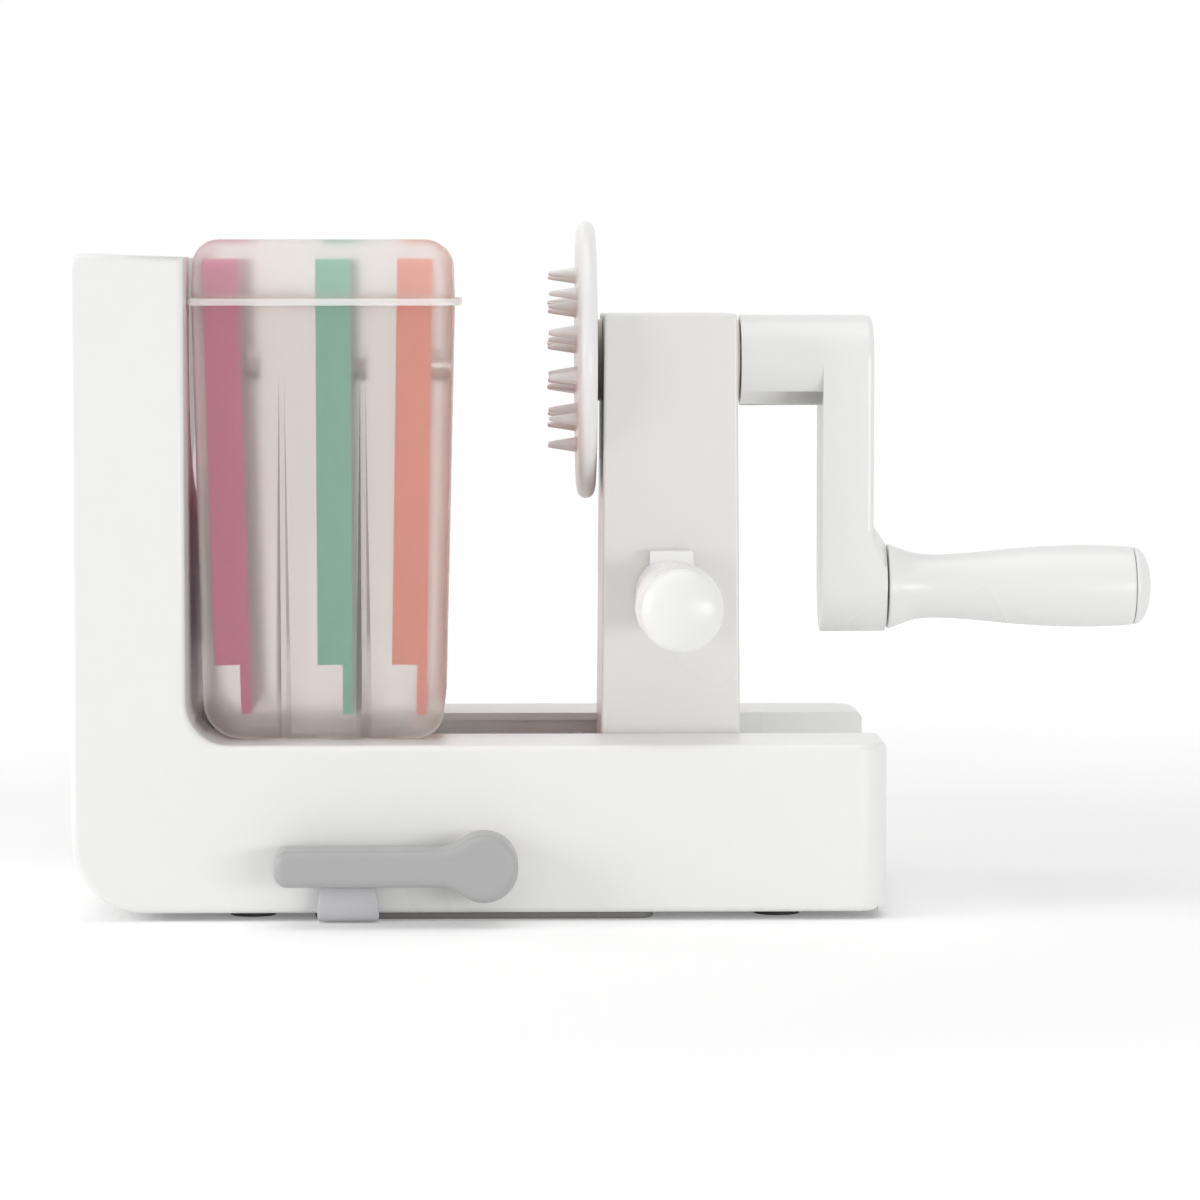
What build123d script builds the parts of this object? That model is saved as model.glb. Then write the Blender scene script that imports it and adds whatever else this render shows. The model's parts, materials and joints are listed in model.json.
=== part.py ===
from build123d import *
import math
import os

# Table-top spiralizer with a hand crank, in millimetres.
# +X runs along the base towards the crank, +Y points away from the side
# handle and the suction lever, +Z is up. The origin is on the counter, under
# the middle of the suction pad and of the suction lever's shaft.

# Fits
running_gap = 0.06      # radial play of a shaft in its bore
slide_gap = 0.3         # play between pieces that slide or lift
seat_gap = 0.05         # play of a piece pushed home in its seat
screw_gap = 0.04        # radial play of a screw's shank in its hole

# Housing: the tower and the two rails, one moulding, open underneath
base_length = 247.3
base_depth = 140.0
pad_to_tower_face = 124.6   # suction pad's middle to the tower's outer face
rail_top = 53.5             # height of the rails above the counter
foot_gap = 2.4              # height of the housing's lower edge
tower_thickness = 34.6
tower_top = 201.8
tower_fall = 1.1            # the tower's top slopes down by this much
wall = 3.0
edge_radius = 2.2
crown_radius = 4.5          # tower's outer top edge
heel_radius = 22.0          # tower's outer bottom edge
crook_radius = 13.0         # inner corner of tower and rails
nose_radius = 10.0          # rail ends, seen from above

# Carriage channel between the rails
channel_width = 69.0
channel_floor = 36.0        # height of the floor above the counter
lip_height = 2.3            # rail lip that holds the carriage down
groove_height = 4.2
groove_depth = 3.0

# Carriage column
column_x = 57.95            # middle of the column, at the right-hand stop
column_width = 43.1         # along X, at the rail tops
column_depth = 66.0         # along Y, at the rail tops
column_top = 183.2
column_draft = 0.45        # degrees
column_edge = 1.1
column_wall = 3.0
tongue_length = 38.0
foot_thickness = 3.0

# Crank and food holder
axis_height = 168.5         # crank axis above the counter
shaft_radius = 7.0
square_drive = 9.0          # side of the shaft's square ends
bush_wall = 3.0
bush_flange_radius = 12.8
bush_flange = 1.6
bush_length = 14.0
hub_radius = 14.25
hub_gap = 0.5               # between the bush's flange and the hub
holder_gap = 0.4           # between the bush's flange and the food holder
hub_length = 25.6
arm_thickness = 16.1
crank_throw = 71.7
arm_edge = 2.2
boss_rise = 4.4
boss_radius = 13.8
flare_radius = 20.5
holder_radius = 43.7
holder_thickness = 6.0
holder_rim = 2.6
prong_length = 9.2
prong_base_radius = 1.9
prong_tip_radius = 0.6
prong_ring = 7.6            # radius of the innermost ring of prongs
prong_ring_step = 10.0
prong_rings = 3
prongs_inside = 4           # in the innermost ring, and as many more in each next one

# Grips: the crank's and the side handle's share one form
grip_length = 84.0
grip_neck_radius = 9.95
grip_swell_radius = 13.0
grip_seam_radius = 12.35
grip_seam = 78.4            # where the end cap starts
crank_root_radius = 13.6
side_root_radius = 11.2
grip_pin_radius = 4.0
grip_pin_head = 7.0
side_handle_height = 97.0

# Suction lever and its shaft
lever_height = 18.0         # shaft's height above the counter
lever_head_radius = 10.3
lever_arm = 62.8            # shaft to the arm's end
lever_arm_height = 11.1
lever_edge = 2.8
lever_thickness = 15.5
lever_standoff = 3.2        # behind the lever, in front of the housing
lever_neck_radius = 13.0
journal_radius = 5.0
cam_low = 5.0               # cam radius where it points up at rest
cam_lift = 5.0              # rise of the plunger over half a turn
cam_width = 7.0
cam_play = 0.5

# Suction pad
pad_length = 103.0          # along X
pad_depth = 130.0           # along Y
pad_corner = 5.0
pad_rim = 2.2
pad_hollow_radius = 43.0
pad_hollow = 1.1
tab_x = -41.0               # middle of the pull tab
tab_width = 17.9
tab_height = 11.6
tab_thickness = 1.8

# Base plate, feet and fasteners
plate_recess = 0.8
plate_thickness = 3.0
foot_radius = 7.0
boss_wall = 2.5
screw_radius = 1.5
screw_head_radius = 3.0
screw_head = 1.6
screw_length = 14.0
screw_inset = 12.0          # screws from the nose
screw_middle = 184.6        # middle pair from the heel
screw_heel = 37.5
foot_inset = 18.0
foot_heel = 54.0
foot_nose = 33.0

# Tower slot for a blade cassette, food window and noodle exit
cassette_width = 100.0
cassette_height = 139.0
rail_thickness = 10.7       # of a cassette's side rails
rail_width = 8.0
rail_lift = 15.2            # the rails start this far above the plate's foot
plate_skin = 3.0            # cassette's face plate
slot_play = 0.4
slot_floor = 62.5
slot_wall = 3.3             # tower wall between the slot and the food side
food_window_radius = 42.0
exit_width = 80.0
exit_floor = 100.0
exit_top = 188.0
exit_corner = 12.0

# Blade box on the rails
box_x = -48.95              # middle of the box
box_foot_width = 73.2       # along X, at the rails
box_seam_width = 79.3       # along X, at the lid's seam
box_seam_depth = 112.0      # along Y, at the lid's seam
box_seam = 187.0
lid_height = 19.0
box_wall = 1.5
box_left_radius = 11.5
box_right_radius = 8.5
box_edge = 4.0
lid_radius = 8.0
lid_draft = 2.0             # degrees
lip_reach = 1.2             # seam lips stand out this far
lip_pull = 2.2              # and this far on the crank side, where a thumb lifts the lid
lip_thickness = 1.0
rim_rise = 2.5              # box's inner rim inside the lid
rim_wall = 0.9
groove_x = (-61.2, -36.6)   # pinch grooves between the compartments
groove_top = 166.0
groove_width = 5.2
groove_floor_width = 1.6
pinch_depth = 6.0
pinch_wall = 1.1
hinge_radius = 2.4
hinge_pin_radius = 1.0
hinge_ear = 7.0
hinge_offset = 18.0         # ears from the middle of the box

# Stored cassettes: middle of the rails at half height, lean in degrees
# (positive leans the top towards the crank), spacing of the teeth
cassettes = {
    "ribbon": (-78.3, -1.5, 0.0),
    "fine": (-45.6, -0.1, 4.0),
    "coarse": (-21.9, 0.9, 7.0),
}
saddle_width = 8.0
saddle_length = 12.0
saddle_y = 40.0             # saddles under the cassettes, from the middle
cassette_lift = 7.6         # foot of the stored cassettes above the rails
blade_edge = 2.0            # blade's edge stands out of the plate
ring_radius = 5.0
ring_wall = 0.6
ring_reach = 3.6
blade_length = 34.0
blade_width = 9.0
blade_thickness = 0.9
blade_slope = 25.0          # degrees
tooth_reach = 3.0
tooth_thickness = 0.8

# Worked-out places
base_left = -pad_to_tower_face
base_right = base_left + base_length
half_depth = base_depth / 2
tower_right = base_left + tower_thickness
half_channel = channel_width / 2
box_top = box_seam + lid_height
lip_bottom = rail_top - lip_height
groove_bottom = lip_bottom - groove_height
plate_bottom = foot_gap + plate_recess
plate_top = plate_bottom + plate_thickness
floor_under = channel_floor - wall
screw_y = half_depth - wall - boss_wall - screw_radius - 5.0
screw_spots = [(x, side * screw_y)
               for x in (base_left + screw_heel, base_left + screw_middle, base_right - screw_inset)
               for side in (-1, 1)]
feet_spots = [(x, side * (half_depth - foot_inset))
              for x in (base_left + foot_heel, base_right - foot_nose) for side in (-1, 1)]
slot_right = tower_right - slot_wall
slot_left = slot_right - rail_thickness - 2 * slot_play
slot_half = cassette_width / 2 + 2 * slot_play

os.makedirs("parts", exist_ok=True)


def finish(builder, name):
    """Labels a finished piece and writes it to its own file."""
    builder.part.label = name
    export_step(builder.part, f"parts/{name}.step")


def box_between(x0, x1, y0, y1, z0, z1, mode=Mode.ADD):
    """A block between two opposite corners, in the part being built."""
    with Locations(((x0 + x1) / 2, (y0 + y1) / 2, (z0 + z1) / 2)):
        Box(abs(x1 - x0), abs(y1 - y0), abs(z1 - z0), mode=mode)


def rod(start, direction, radius, length, mode=Mode.ADD):
    """A cylinder from a point along a direction, in the part being built."""
    with BuildSketch(Plane(origin=start, z_dir=direction)) as section:
        Circle(radius)
    extrude(section.sketch, amount=length, mode=mode)


# ------------------------------------------------------------------ housing
with BuildPart() as base_housing:
    with BuildSketch(Plane.XZ) as side_view:
        with BuildLine():
            Polyline(
                (base_left, foot_gap),
                (base_right, foot_gap),
                (base_right, rail_top),
                (tower_right, rail_top),
                (tower_right, tower_top - tower_fall),
                (base_left, tower_top),
                close=True,
            )
        make_face()
        for corner, radius in (((base_left, foot_gap), heel_radius),
                               ((tower_right, rail_top), crook_radius),
                               ((base_left, tower_top), crown_radius)):
            fillet(side_view.vertices().sort_by_distance(corner)[0], radius)
    extrude(amount=half_depth, both=True)
    nose_edges = base_housing.edges().filter_by(Axis.Z).group_by(Axis.X)[-1]
    fillet(nose_edges, nose_radius)
    front = base_housing.faces().sort_by(Axis.Y)[0]
    back = base_housing.faces().sort_by(Axis.Y)[-1]
    outline = front.edges() + back.edges()
    nose_seam = base_right - nose_radius
    outline = outline.filter_by(
        lambda e: abs(e.center().X - nose_seam) > 0.01 or abs(e.tangent_at(0.5).Z) < 0.9)
    ends = base_housing.edges().filter_by(
        lambda e: e.center().X > nose_seam + 0.01 and abs(e.tangent_at(0.5).Z) < 0.5)
    rim = outline + ends
    fillet(ShapeList(set(rim)), edge_radius)

    # channel between the rails, with a groove under each lip
    box_between(tower_right, base_right + 1, -half_channel, half_channel,
                channel_floor, rail_top + crook_radius, mode=Mode.SUBTRACT)
    tongue_stop = column_x + tongue_length / 2 + slide_gap
    groove_reach = half_channel + groove_depth
    box_between(tower_right, tongue_stop, -groove_reach, groove_reach,
                groove_bottom, lip_bottom, mode=Mode.SUBTRACT)

    # hollow inside: under the channel, and up into each rail
    inner_left = base_left + wall
    inner_right = base_right - wall
    inner_depth = half_depth - wall
    heel_x = base_left + heel_radius
    heel_step = 5.0             # floor of the heel, up to the base plate
    for ceiling, y_from in ((floor_under, 0.0), (rail_top - wall, groove_reach + wall)):
        for side in (-1, 1):
            with BuildSketch(Plane.XZ.offset(-side * inner_depth)):
                with BuildLine():
                    Polyline(
                        (heel_x, foot_gap + wall),
                        (heel_x + heel_step, foot_gap + wall),
                        (heel_x + heel_step, -1),
                        (inner_right, -1),
                        (inner_right, ceiling),
                        (inner_left, ceiling),
                        (inner_left, foot_gap + heel_radius),
                    )
                    RadiusArc((inner_left, foot_gap + heel_radius),
                              (heel_x, foot_gap + wall), -(heel_radius - wall))
                make_face()
            extrude(amount=side * (inner_depth - y_from), mode=Mode.SUBTRACT)
    # solid corners where the rounded nose leaves less than a wall
    nose_fill = nose_radius - wall
    for side in (-1, 1):
        with BuildSketch(Plane.XY.offset(foot_gap + edge_radius)):
            with BuildLine():
                Polyline((inner_right, side * (inner_depth - nose_fill)),
                         (inner_right, side * inner_depth),
                         (inner_right - nose_fill, side * inner_depth))
                RadiusArc((inner_right - nose_fill, side * inner_depth),
                          (inner_right, side * (inner_depth - nose_fill)), side * nose_fill)
            make_face()
        extrude(amount=rail_top - wall - foot_gap)

    # hollow tower: two pillars and a low middle
    pillar_from = slot_half + wall
    for side in (-1, 1):
        box_between(inner_left, tower_right - wall, side * pillar_from, side * inner_depth,
                    foot_gap + heel_radius, tower_top - tower_fall - wall, mode=Mode.SUBTRACT)
    box_between(inner_left, tower_right - wall, -pillar_from, pillar_from,
                foot_gap + heel_radius, slot_floor - wall, mode=Mode.SUBTRACT)
    box_between(inner_left, slot_left - wall, -slot_half, slot_half,
                slot_floor - wall - 1, exit_floor - wall, mode=Mode.SUBTRACT)

    # slot that takes a blade cassette from above
    box_between(slot_left, slot_right, -slot_half, slot_half,
                slot_floor, tower_top + 1, mode=Mode.SUBTRACT)
    # food window, open at the top
    with BuildSketch(Plane.YZ.offset(slot_right - 0.5)):
        with Locations((0, axis_height)):
            Circle(food_window_radius)
        with Locations((0, (axis_height + tower_top) / 2 + 5)):
            Rectangle(2 * food_window_radius, tower_top - axis_height + 10)
    extrude(amount=slot_wall + 1, mode=Mode.SUBTRACT)
    # noodle exit
    with BuildSketch(Plane.YZ.offset(base_left - 1)):
        with Locations((0, (exit_floor + exit_top) / 2)):
            RectangleRounded(exit_width, exit_top - exit_floor, exit_corner)
    extrude(amount=slot_left - base_left + 1.5, mode=Mode.SUBTRACT)

    # screw bosses for the base plate
    for x, y in screw_spots:
        rod((x, y, plate_top), (0, 0, 1), screw_radius + boss_wall, rail_top - wall - plate_top + 1)
        rod((x, y, plate_top - 1), (0, 0, 1), screw_radius + screw_gap,
            screw_length + 1, mode=Mode.SUBTRACT)

    # bearings of the lever's shaft: a boss in the front wall, a post behind
    bush_bore = journal_radius + 2.0
    rod((0, -inner_depth - 0.5, lever_height), (0, 1, 0), bush_bore + wall, 8.5)
    rod((0, -half_depth - 1, lever_height), (0, 1, 0), bush_bore + seat_gap, 13.0,
        mode=Mode.SUBTRACT)
    post_from = 10.0
    post_depth = 4.0
    rear_journal = journal_radius - 1.0
    box_between(-8, 8, post_from, post_from + post_depth, lever_height - 8, floor_under + 1)
    rod((0, post_from - 1, lever_height), (0, 1, 0), rear_journal + running_gap,
        post_depth + 2, mode=Mode.SUBTRACT)

    # channels that guide the suction plunger's frame
    frame_inner = cam_low + cam_lift + 0.8
    frame_bar = 3.0
    frame_outer = frame_inner + frame_bar
    frame_half = cam_width / 2 + 0.5
    for side in (-1, 1):
        box_between(side * (frame_outer - 1.3), side * (frame_outer + wall), -frame_half - 2.5,
                    frame_half + 2.5, lever_height - 9, floor_under + 1)
        box_between(side * (frame_outer - 1.4), side * (frame_outer + slide_gap),
                    -frame_half - slide_gap, frame_half + slide_gap,
                    lever_height - 10, floor_under, mode=Mode.SUBTRACT)
finish(base_housing, "base_housing")

# --------------------------------------------------------------- base plate
plate_left = heel_x + heel_step + seat_gap
plate_right = inner_right - seat_gap
plate_half = inner_depth - seat_gap
pad_opening = frame_outer + 6.0
with BuildPart() as base_plate:
    with BuildSketch(Plane.XY.offset(plate_bottom)) as plate_outline:
        with Locations(((plate_left + plate_right) / 2, 0)):
            Rectangle(plate_right - plate_left, 2 * plate_half)
        fillet(plate_outline.vertices().group_by(Axis.X)[-1], nose_radius - wall)
        Circle(pad_opening, mode=Mode.SUBTRACT)
    extrude(amount=plate_thickness)
    for x, y in screw_spots:
        rod((x, y, plate_bottom), (0, 0, 1), screw_radius + screw_gap, plate_thickness,
            mode=Mode.SUBTRACT)
        rod((x, y, plate_bottom), (0, 0, 1), screw_head_radius + slide_gap, screw_head,
            mode=Mode.SUBTRACT)
    for x, y in feet_spots:
        rod((x, y, plate_bottom), (0, 0, 1), foot_radius + seat_gap, plate_thickness / 2,
            mode=Mode.SUBTRACT)
finish(base_plate, "base_plate")

with BuildPart() as base_plate_screws:
    for x, y in screw_spots:
        rod((x, y, plate_bottom), (0, 0, 1), screw_head_radius, screw_head)
        rod((x, y, plate_bottom + screw_head), (0, 0, 1), screw_radius,
            screw_length - screw_head - 2)
finish(base_plate_screws, "base_plate_screws")

with BuildPart() as rubber_feet:
    for x, y in feet_spots:
        rod((x, y, 0), (0, 0, 1), foot_radius, plate_bottom + plate_thickness / 2)
finish(rubber_feet, "rubber_feet")

# -------------------------------------------------------------- suction pad
pad_top = plate_bottom + 1.0
disc_radius = 8.0
disc_thickness = 1.4
disc_bottom = pad_top - 2.2
neck_radius = 4.6
with BuildPart() as suction_pad:
    with BuildSketch(Plane.XY):
        RectangleRounded(pad_length, pad_depth, pad_corner)
    extrude(amount=pad_rim)
    with BuildSketch(Plane.XZ):
        with BuildLine():
            Polyline((0, pad_hollow), (pad_opening - 2, pad_rim - 0.4),
                     (pad_opening - 2, pad_rim), (disc_radius + 4, pad_top),
                     (0, pad_top), close=True)
        make_face()
    revolve(axis=Axis.Z)
    # shallow vacuum hollow underneath
    with BuildSketch(Plane.XZ):
        with BuildLine():
            Polyline((0, -0.1), (pad_hollow_radius, -0.1), (pad_hollow_radius, 0),
                     (pad_opening, pad_hollow), (0, pad_hollow), close=True)
        make_face()
    revolve(axis=Axis.Z, mode=Mode.SUBTRACT)
    # pocket moulded round the plunger's disc
    rod((0, 0, disc_bottom - 0.1), (0, 0, 1), disc_radius + 0.2, disc_thickness + 0.2,
        mode=Mode.SUBTRACT)
    rod((0, 0, disc_bottom), (0, 0, 1), neck_radius + 0.2, 5, mode=Mode.SUBTRACT)
    # pull tab: out under the housing, curling up in front of it
    tab_root = -pad_depth / 2 + 1
    tab_bend = -half_depth - 1
    tab_front = -half_depth - 6.3
    tab_back = tab_front + tab_thickness
    with BuildSketch(Plane.YZ.offset(tab_x)):
        with BuildLine():
            below = Line((tab_root, 0.3), (tab_bend, 0.3))
            outside = Spline(below @ 1, (tab_front + 0.8, 2.8), (tab_front, tab_height),
                             tangents=((-1, 0), (0.1, 1)))
            tip = Line(outside @ 1, (tab_back, tab_height))
            inside = Spline(tip @ 1, (tab_back + 0.5, 4.0), (tab_bend, 0.3 + tab_thickness),
                            tangents=((-0.1, -1), (1, 0)))
            above = Line(inside @ 1, (tab_root, 0.3 + tab_thickness))
            Line(above @ 1, below @ 0)
        make_face()
    extrude(amount=tab_width / 2, both=True)
finish(suction_pad, "suction_pad")

# ------------------------------------------------- suction lever and plunger
lever_back = -half_depth - lever_standoff
with BuildPart() as lever_bush:
    rod((0, -half_depth, lever_height), (0, -1, 0), lever_head_radius - 0.8,
        lever_standoff - slide_gap)
    rod((0, -half_depth, lever_height), (0, 1, 0), bush_bore, 9.5)
    rod((0, -half_depth - lever_standoff - 1, lever_height), (0, 1, 0),
        journal_radius + running_gap, 20, mode=Mode.SUBTRACT)
finish(lever_bush, "lever_bush")

socket_depth = 9.0
with BuildPart() as suction_lever:
    with BuildSketch(Plane.XZ.offset(-lever_back)) as lever_outline:
        with Locations((0, lever_height)):
            Circle(lever_head_radius)
        with Locations((-lever_arm / 2, lever_height)):
            Rectangle(lever_arm, lever_arm_height)
        arm_end = lever_outline.vertices().group_by(Axis.X)[0]
        fillet(arm_end, lever_arm_height * 0.36)
        neck = lever_outline.vertices().filter_by_position(
            Axis.X, -lever_head_radius, -lever_head_radius / 2)
        fillet(neck, lever_neck_radius)
    extrude(amount=lever_thickness)
    fillet(suction_lever.faces().sort_by(Axis.Y)[0].edges(), lever_edge)
    fillet(suction_lever.faces().sort_by(Axis.Y)[-1].edges(), 0.8)
    with BuildSketch(Plane.XZ.offset(-lever_back)):
        with Locations((0, lever_height)):
            Rectangle(square_drive - 2 + 2 * seat_gap, square_drive - 2 + 2 * seat_gap)
    extrude(amount=socket_depth + 0.2, mode=Mode.SUBTRACT)
finish(suction_lever, "suction_lever")

clip_y = post_from + post_depth + slide_gap
clip_thickness = 1.0
with BuildPart() as cam_shaft:
    with BuildSketch(Plane.XZ.offset(-lever_back)):
        with Locations((0, lever_height)):
            Rectangle(square_drive - 2, square_drive - 2)
    extrude(amount=socket_depth)
    rod((0, lever_back, lever_height), (0, 1, 0), journal_radius, 16.0)
    rod((0, lever_back + 16, lever_height), (0, 1, 0), rear_journal,
        clip_y - lever_back - 16)
    rod((0, clip_y, lever_height), (0, 1, 0), rear_journal - 1, clip_thickness)
    rod((0, clip_y + clip_thickness, lever_height), (0, 1, 0), rear_journal, 1.4)
    # heart cam: its radius grows evenly with the angle, low side up at rest
    steps = 12
    rising = []
    for i in range(steps + 1):
        turn = math.pi * i / steps
        reach = cam_low + cam_lift * i / steps
        rising.append((-reach * math.sin(turn), lever_height + reach * math.cos(turn)))
    falling = [(-x, z) for x, z in rising]
    with BuildSketch(Plane.XZ.offset(-cam_width / 2)):
        with BuildLine():
            Spline(*rising)
            Spline(*falling)
        make_face()
    extrude(amount=cam_width)
finish(cam_shaft, "cam_shaft")

with BuildPart() as shaft_clip:
    rod((0, clip_y, lever_height), (0, 1, 0), rear_journal + 2.5, clip_thickness)
    rod((0, clip_y, lever_height), (0, 1, 0), rear_journal - 1 + running_gap, clip_thickness,
        mode=Mode.SUBTRACT)
finish(shaft_clip, "shaft_clip")

cam_high = cam_low + cam_lift
frame_low = lever_height - cam_high - cam_play - frame_bar
with BuildPart() as suction_plunger:
    box_between(-frame_outer, frame_outer, -frame_half, frame_half,
                frame_low, lever_height + cam_low + cam_play + frame_bar)
    box_between(-frame_inner, frame_inner, -frame_half - 1, frame_half + 1,
                lever_height - cam_high - cam_play, lever_height + cam_low + cam_play,
                mode=Mode.SUBTRACT)
    rod((0, 0, disc_bottom), (0, 0, 1), disc_radius, disc_thickness)
    rod((0, 0, disc_bottom), (0, 0, 1), neck_radius, frame_low - disc_bottom + 0.5)
finish(suction_plunger, "suction_plunger")

# ------------------------------------------------------------------ carriage
draft_slope = math.tan(math.radians(column_draft))


def half_width_at(height):
    """Half the column's width along X at a height, with its draft."""
    return column_width / 2 - (height - rail_top) * draft_slope


def half_depth_at(height):
    """Half the column's depth along Y at a height, with its draft."""
    return column_depth / 2 - (height - rail_top) * draft_slope


foot_bottom = channel_floor + slide_gap
column_bottom = foot_bottom + foot_thickness
food_side = column_x - half_width_at(axis_height - bush_flange_radius)
crank_side = column_x + half_width_at(axis_height - bush_flange_radius)
column_front = -half_depth_at(side_handle_height - side_root_radius)
tube_radius = shaft_radius + bush_wall
screw_posts = [(column_x + sx * (column_width / 2 - column_wall - 4.0),
                sy * (column_depth / 2 - column_wall - 4.0)) for sx in (-1, 1) for sy in (-1, 1)]
socket_radius = 7.0
socket_length = 16.0
catch_width = 8.0
catch_low = side_handle_height + side_root_radius - 5.2
catch_high = catch_low + 3.6
press_travel = 2.0

with BuildPart() as carriage_column:
    with BuildSketch(Plane.XY.offset(column_bottom)):
        with Locations((column_x, 0)):
            Rectangle(2 * half_width_at(column_bottom), 2 * half_depth_at(column_bottom))
    extrude(amount=column_top - column_bottom, taper=column_draft)
    fillet(carriage_column.edges().filter_by(
        lambda e: e.length > column_top - column_bottom - 5), column_edge)
    fillet(carriage_column.faces().sort_by(Axis.Z)[-1].edges(), column_edge)
    with BuildSketch(Plane.XY.offset(column_bottom)):
        with Locations((column_x, 0)):
            Rectangle(2 * (half_width_at(column_bottom) - column_wall),
                      2 * (half_depth_at(column_bottom) - column_wall))
    extrude(amount=column_top - column_bottom - column_wall, taper=column_draft,
            mode=Mode.SUBTRACT)
    # tongues that run in the grooves under the rail lips
    tongue_reach = groove_reach - slide_gap
    for side in (-1, 1):
        box_between(column_x - tongue_length / 2, column_x + tongue_length / 2,
                    side * (column_depth / 2 - 1), side * tongue_reach,
                    groove_bottom + slide_gap, lip_bottom - slide_gap)
    # posts for the foot's screws
    for x, y in screw_posts:
        box_between(x - 4.5, x + 4.5, y - 4.5, y + 4.5, column_bottom, column_bottom + 20)
        rod((x, y, column_bottom), (0, 0, 1), screw_radius + screw_gap, screw_length,
            mode=Mode.SUBTRACT)
    # cross tube for the crank's bushes
    rod((column_x - column_width / 2 + 2, 0, axis_height), (1, 0, 0),
        tube_radius + wall, column_width - 4)
    rod((column_x - column_width, 0, axis_height), (1, 0, 0), tube_radius + seat_gap,
        2 * column_width, mode=Mode.SUBTRACT)
    # socket for the side handle, with a window for its catch
    rod((column_x, column_front + 1, side_handle_height), (0, 1, 0),
        socket_radius + wall, socket_length + 2)
    rod((column_x, column_front - 5, side_handle_height), (0, 1, 0),
        socket_radius + seat_gap, socket_length + 5.5, mode=Mode.SUBTRACT)
    box_between(column_x - catch_width / 2 - slide_gap, column_x + catch_width / 2 + slide_gap,
                column_front - 1, column_front + column_wall + 4.5,
                catch_low - press_travel - slide_gap, catch_high + slide_gap, mode=Mode.SUBTRACT)
    box_between(column_x - catch_width / 2 - slide_gap, column_x + catch_width / 2 + slide_gap,
                column_front + column_wall, column_front + column_wall + 4.5,
                catch_low, catch_high + 2.4, mode=Mode.SUBTRACT)
finish(carriage_column, "carriage_column")

with BuildPart() as carriage_foot:
    with BuildSketch(Plane.XY.offset(foot_bottom)):
        with Locations((column_x, 0)):
            RectangleRounded(2 * half_width_at(column_bottom),
                             2 * half_depth_at(column_bottom), column_edge)
    extrude(amount=foot_thickness)
    for x, y in screw_posts:
        rod((x, y, foot_bottom), (0, 0, 1), screw_radius + screw_gap, foot_thickness,
            mode=Mode.SUBTRACT)
        rod((x, y, foot_bottom), (0, 0, 1), screw_head_radius + slide_gap, screw_head + 0.2,
            mode=Mode.SUBTRACT)
finish(carriage_foot, "carriage_foot")

with BuildPart() as carriage_foot_screws:
    for x, y in screw_posts:
        rod((x, y, foot_bottom + 0.2), (0, 0, 1), screw_head_radius, screw_head)
        rod((x, y, foot_bottom + 0.2 + screw_head), (0, 0, 1), screw_radius,
            screw_length - screw_head - 1)
finish(carriage_foot_screws, "carriage_foot_screws")

for name, face_x, outward in (("food_side_bush", food_side, -1),
                              ("crank_side_bush", crank_side, 1)):
    with BuildPart() as bush:
        rod((face_x, 0, axis_height), (outward, 0, 0), bush_flange_radius, bush_flange)
        rod((face_x, 0, axis_height), (-outward, 0, 0), tube_radius, bush_length)
        rod((face_x + outward * 5, 0, axis_height), (-outward, 0, 0),
            shaft_radius + running_gap, bush_length + 10, mode=Mode.SUBTRACT)
    finish(bush, name)


# --------------------------------------------------------------------- grips
def grip_face(root_radius):
    """Half section of a grip up to its end cap, along the sketch's X axis."""
    with BuildSketch() as half:
        with BuildLine():
            Spline(
                (0, root_radius),
                (7.9, grip_neck_radius + 0.25 * (root_radius - grip_neck_radius)),
                (grip_length * 0.19, grip_neck_radius),
                (grip_length * 0.51, grip_swell_radius - 0.85),
                (grip_length * 0.74, grip_swell_radius),
                (grip_seam, grip_seam_radius),
            )
            Polyline((grip_seam, grip_seam_radius), (grip_seam, 0), (0, 0), (0, root_radius))
        make_face()
    return half.sketch


def cap_face(hollow_radius, hollow_depth):
    """Half section of a grip's end cap, with the plug that seats it."""
    with BuildSketch() as half:
        with BuildLine():
            Polyline(
                (grip_length, 0),
                (grip_seam - hollow_depth, 0),
                (grip_seam - hollow_depth, hollow_radius),
                (grip_seam, hollow_radius),
                (grip_seam, grip_seam_radius),
            )
            Spline(
                (grip_seam, grip_seam_radius),
                (grip_length - 2.2, 0.78 * grip_seam_radius),
                (grip_length, 0),
                tangents=((1, -0.12), (0, -1)),
            )
        make_face()
    return half.sketch


cap_plug = 3.0
plug_radius = grip_pin_head + 1.4
column_right = crank_side + bush_flange
hub_left = column_right + hub_gap
arm_left = hub_left + hub_length
arm_right = arm_left + arm_thickness
boss_face = arm_right + boss_rise
grip_start = boss_face + 0.6
grip_height = axis_height - crank_throw
grip_plane = Plane(origin=(grip_start, 0, grip_height), x_dir=(1, 0, 0), z_dir=(0, -1, 0))
side_plane = Plane(origin=(column_x, column_front, side_handle_height),
                   x_dir=(0, -1, 0), z_dir=(-1, 0, 0))
head_room = 6.0

with BuildPart() as crank_grip:
    with BuildSketch(grip_plane):
        add(grip_face(crank_root_radius))
    revolve(axis=Axis(grip_plane.origin, grip_plane.x_dir))
    rod((grip_start - 1, 0, grip_height), (1, 0, 0), grip_pin_radius + running_gap,
        grip_length, mode=Mode.SUBTRACT)
    rod((grip_start + grip_seam - head_room, 0, grip_height), (1, 0, 0),
        plug_radius, grip_length, mode=Mode.SUBTRACT)
finish(crank_grip, "crank_grip")

with BuildPart() as crank_grip_cap:
    with BuildSketch(grip_plane):
        add(cap_face(plug_radius - seat_gap, cap_plug))
    revolve(axis=Axis(grip_plane.origin, grip_plane.x_dir))
finish(crank_grip_cap, "crank_grip_cap")

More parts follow.
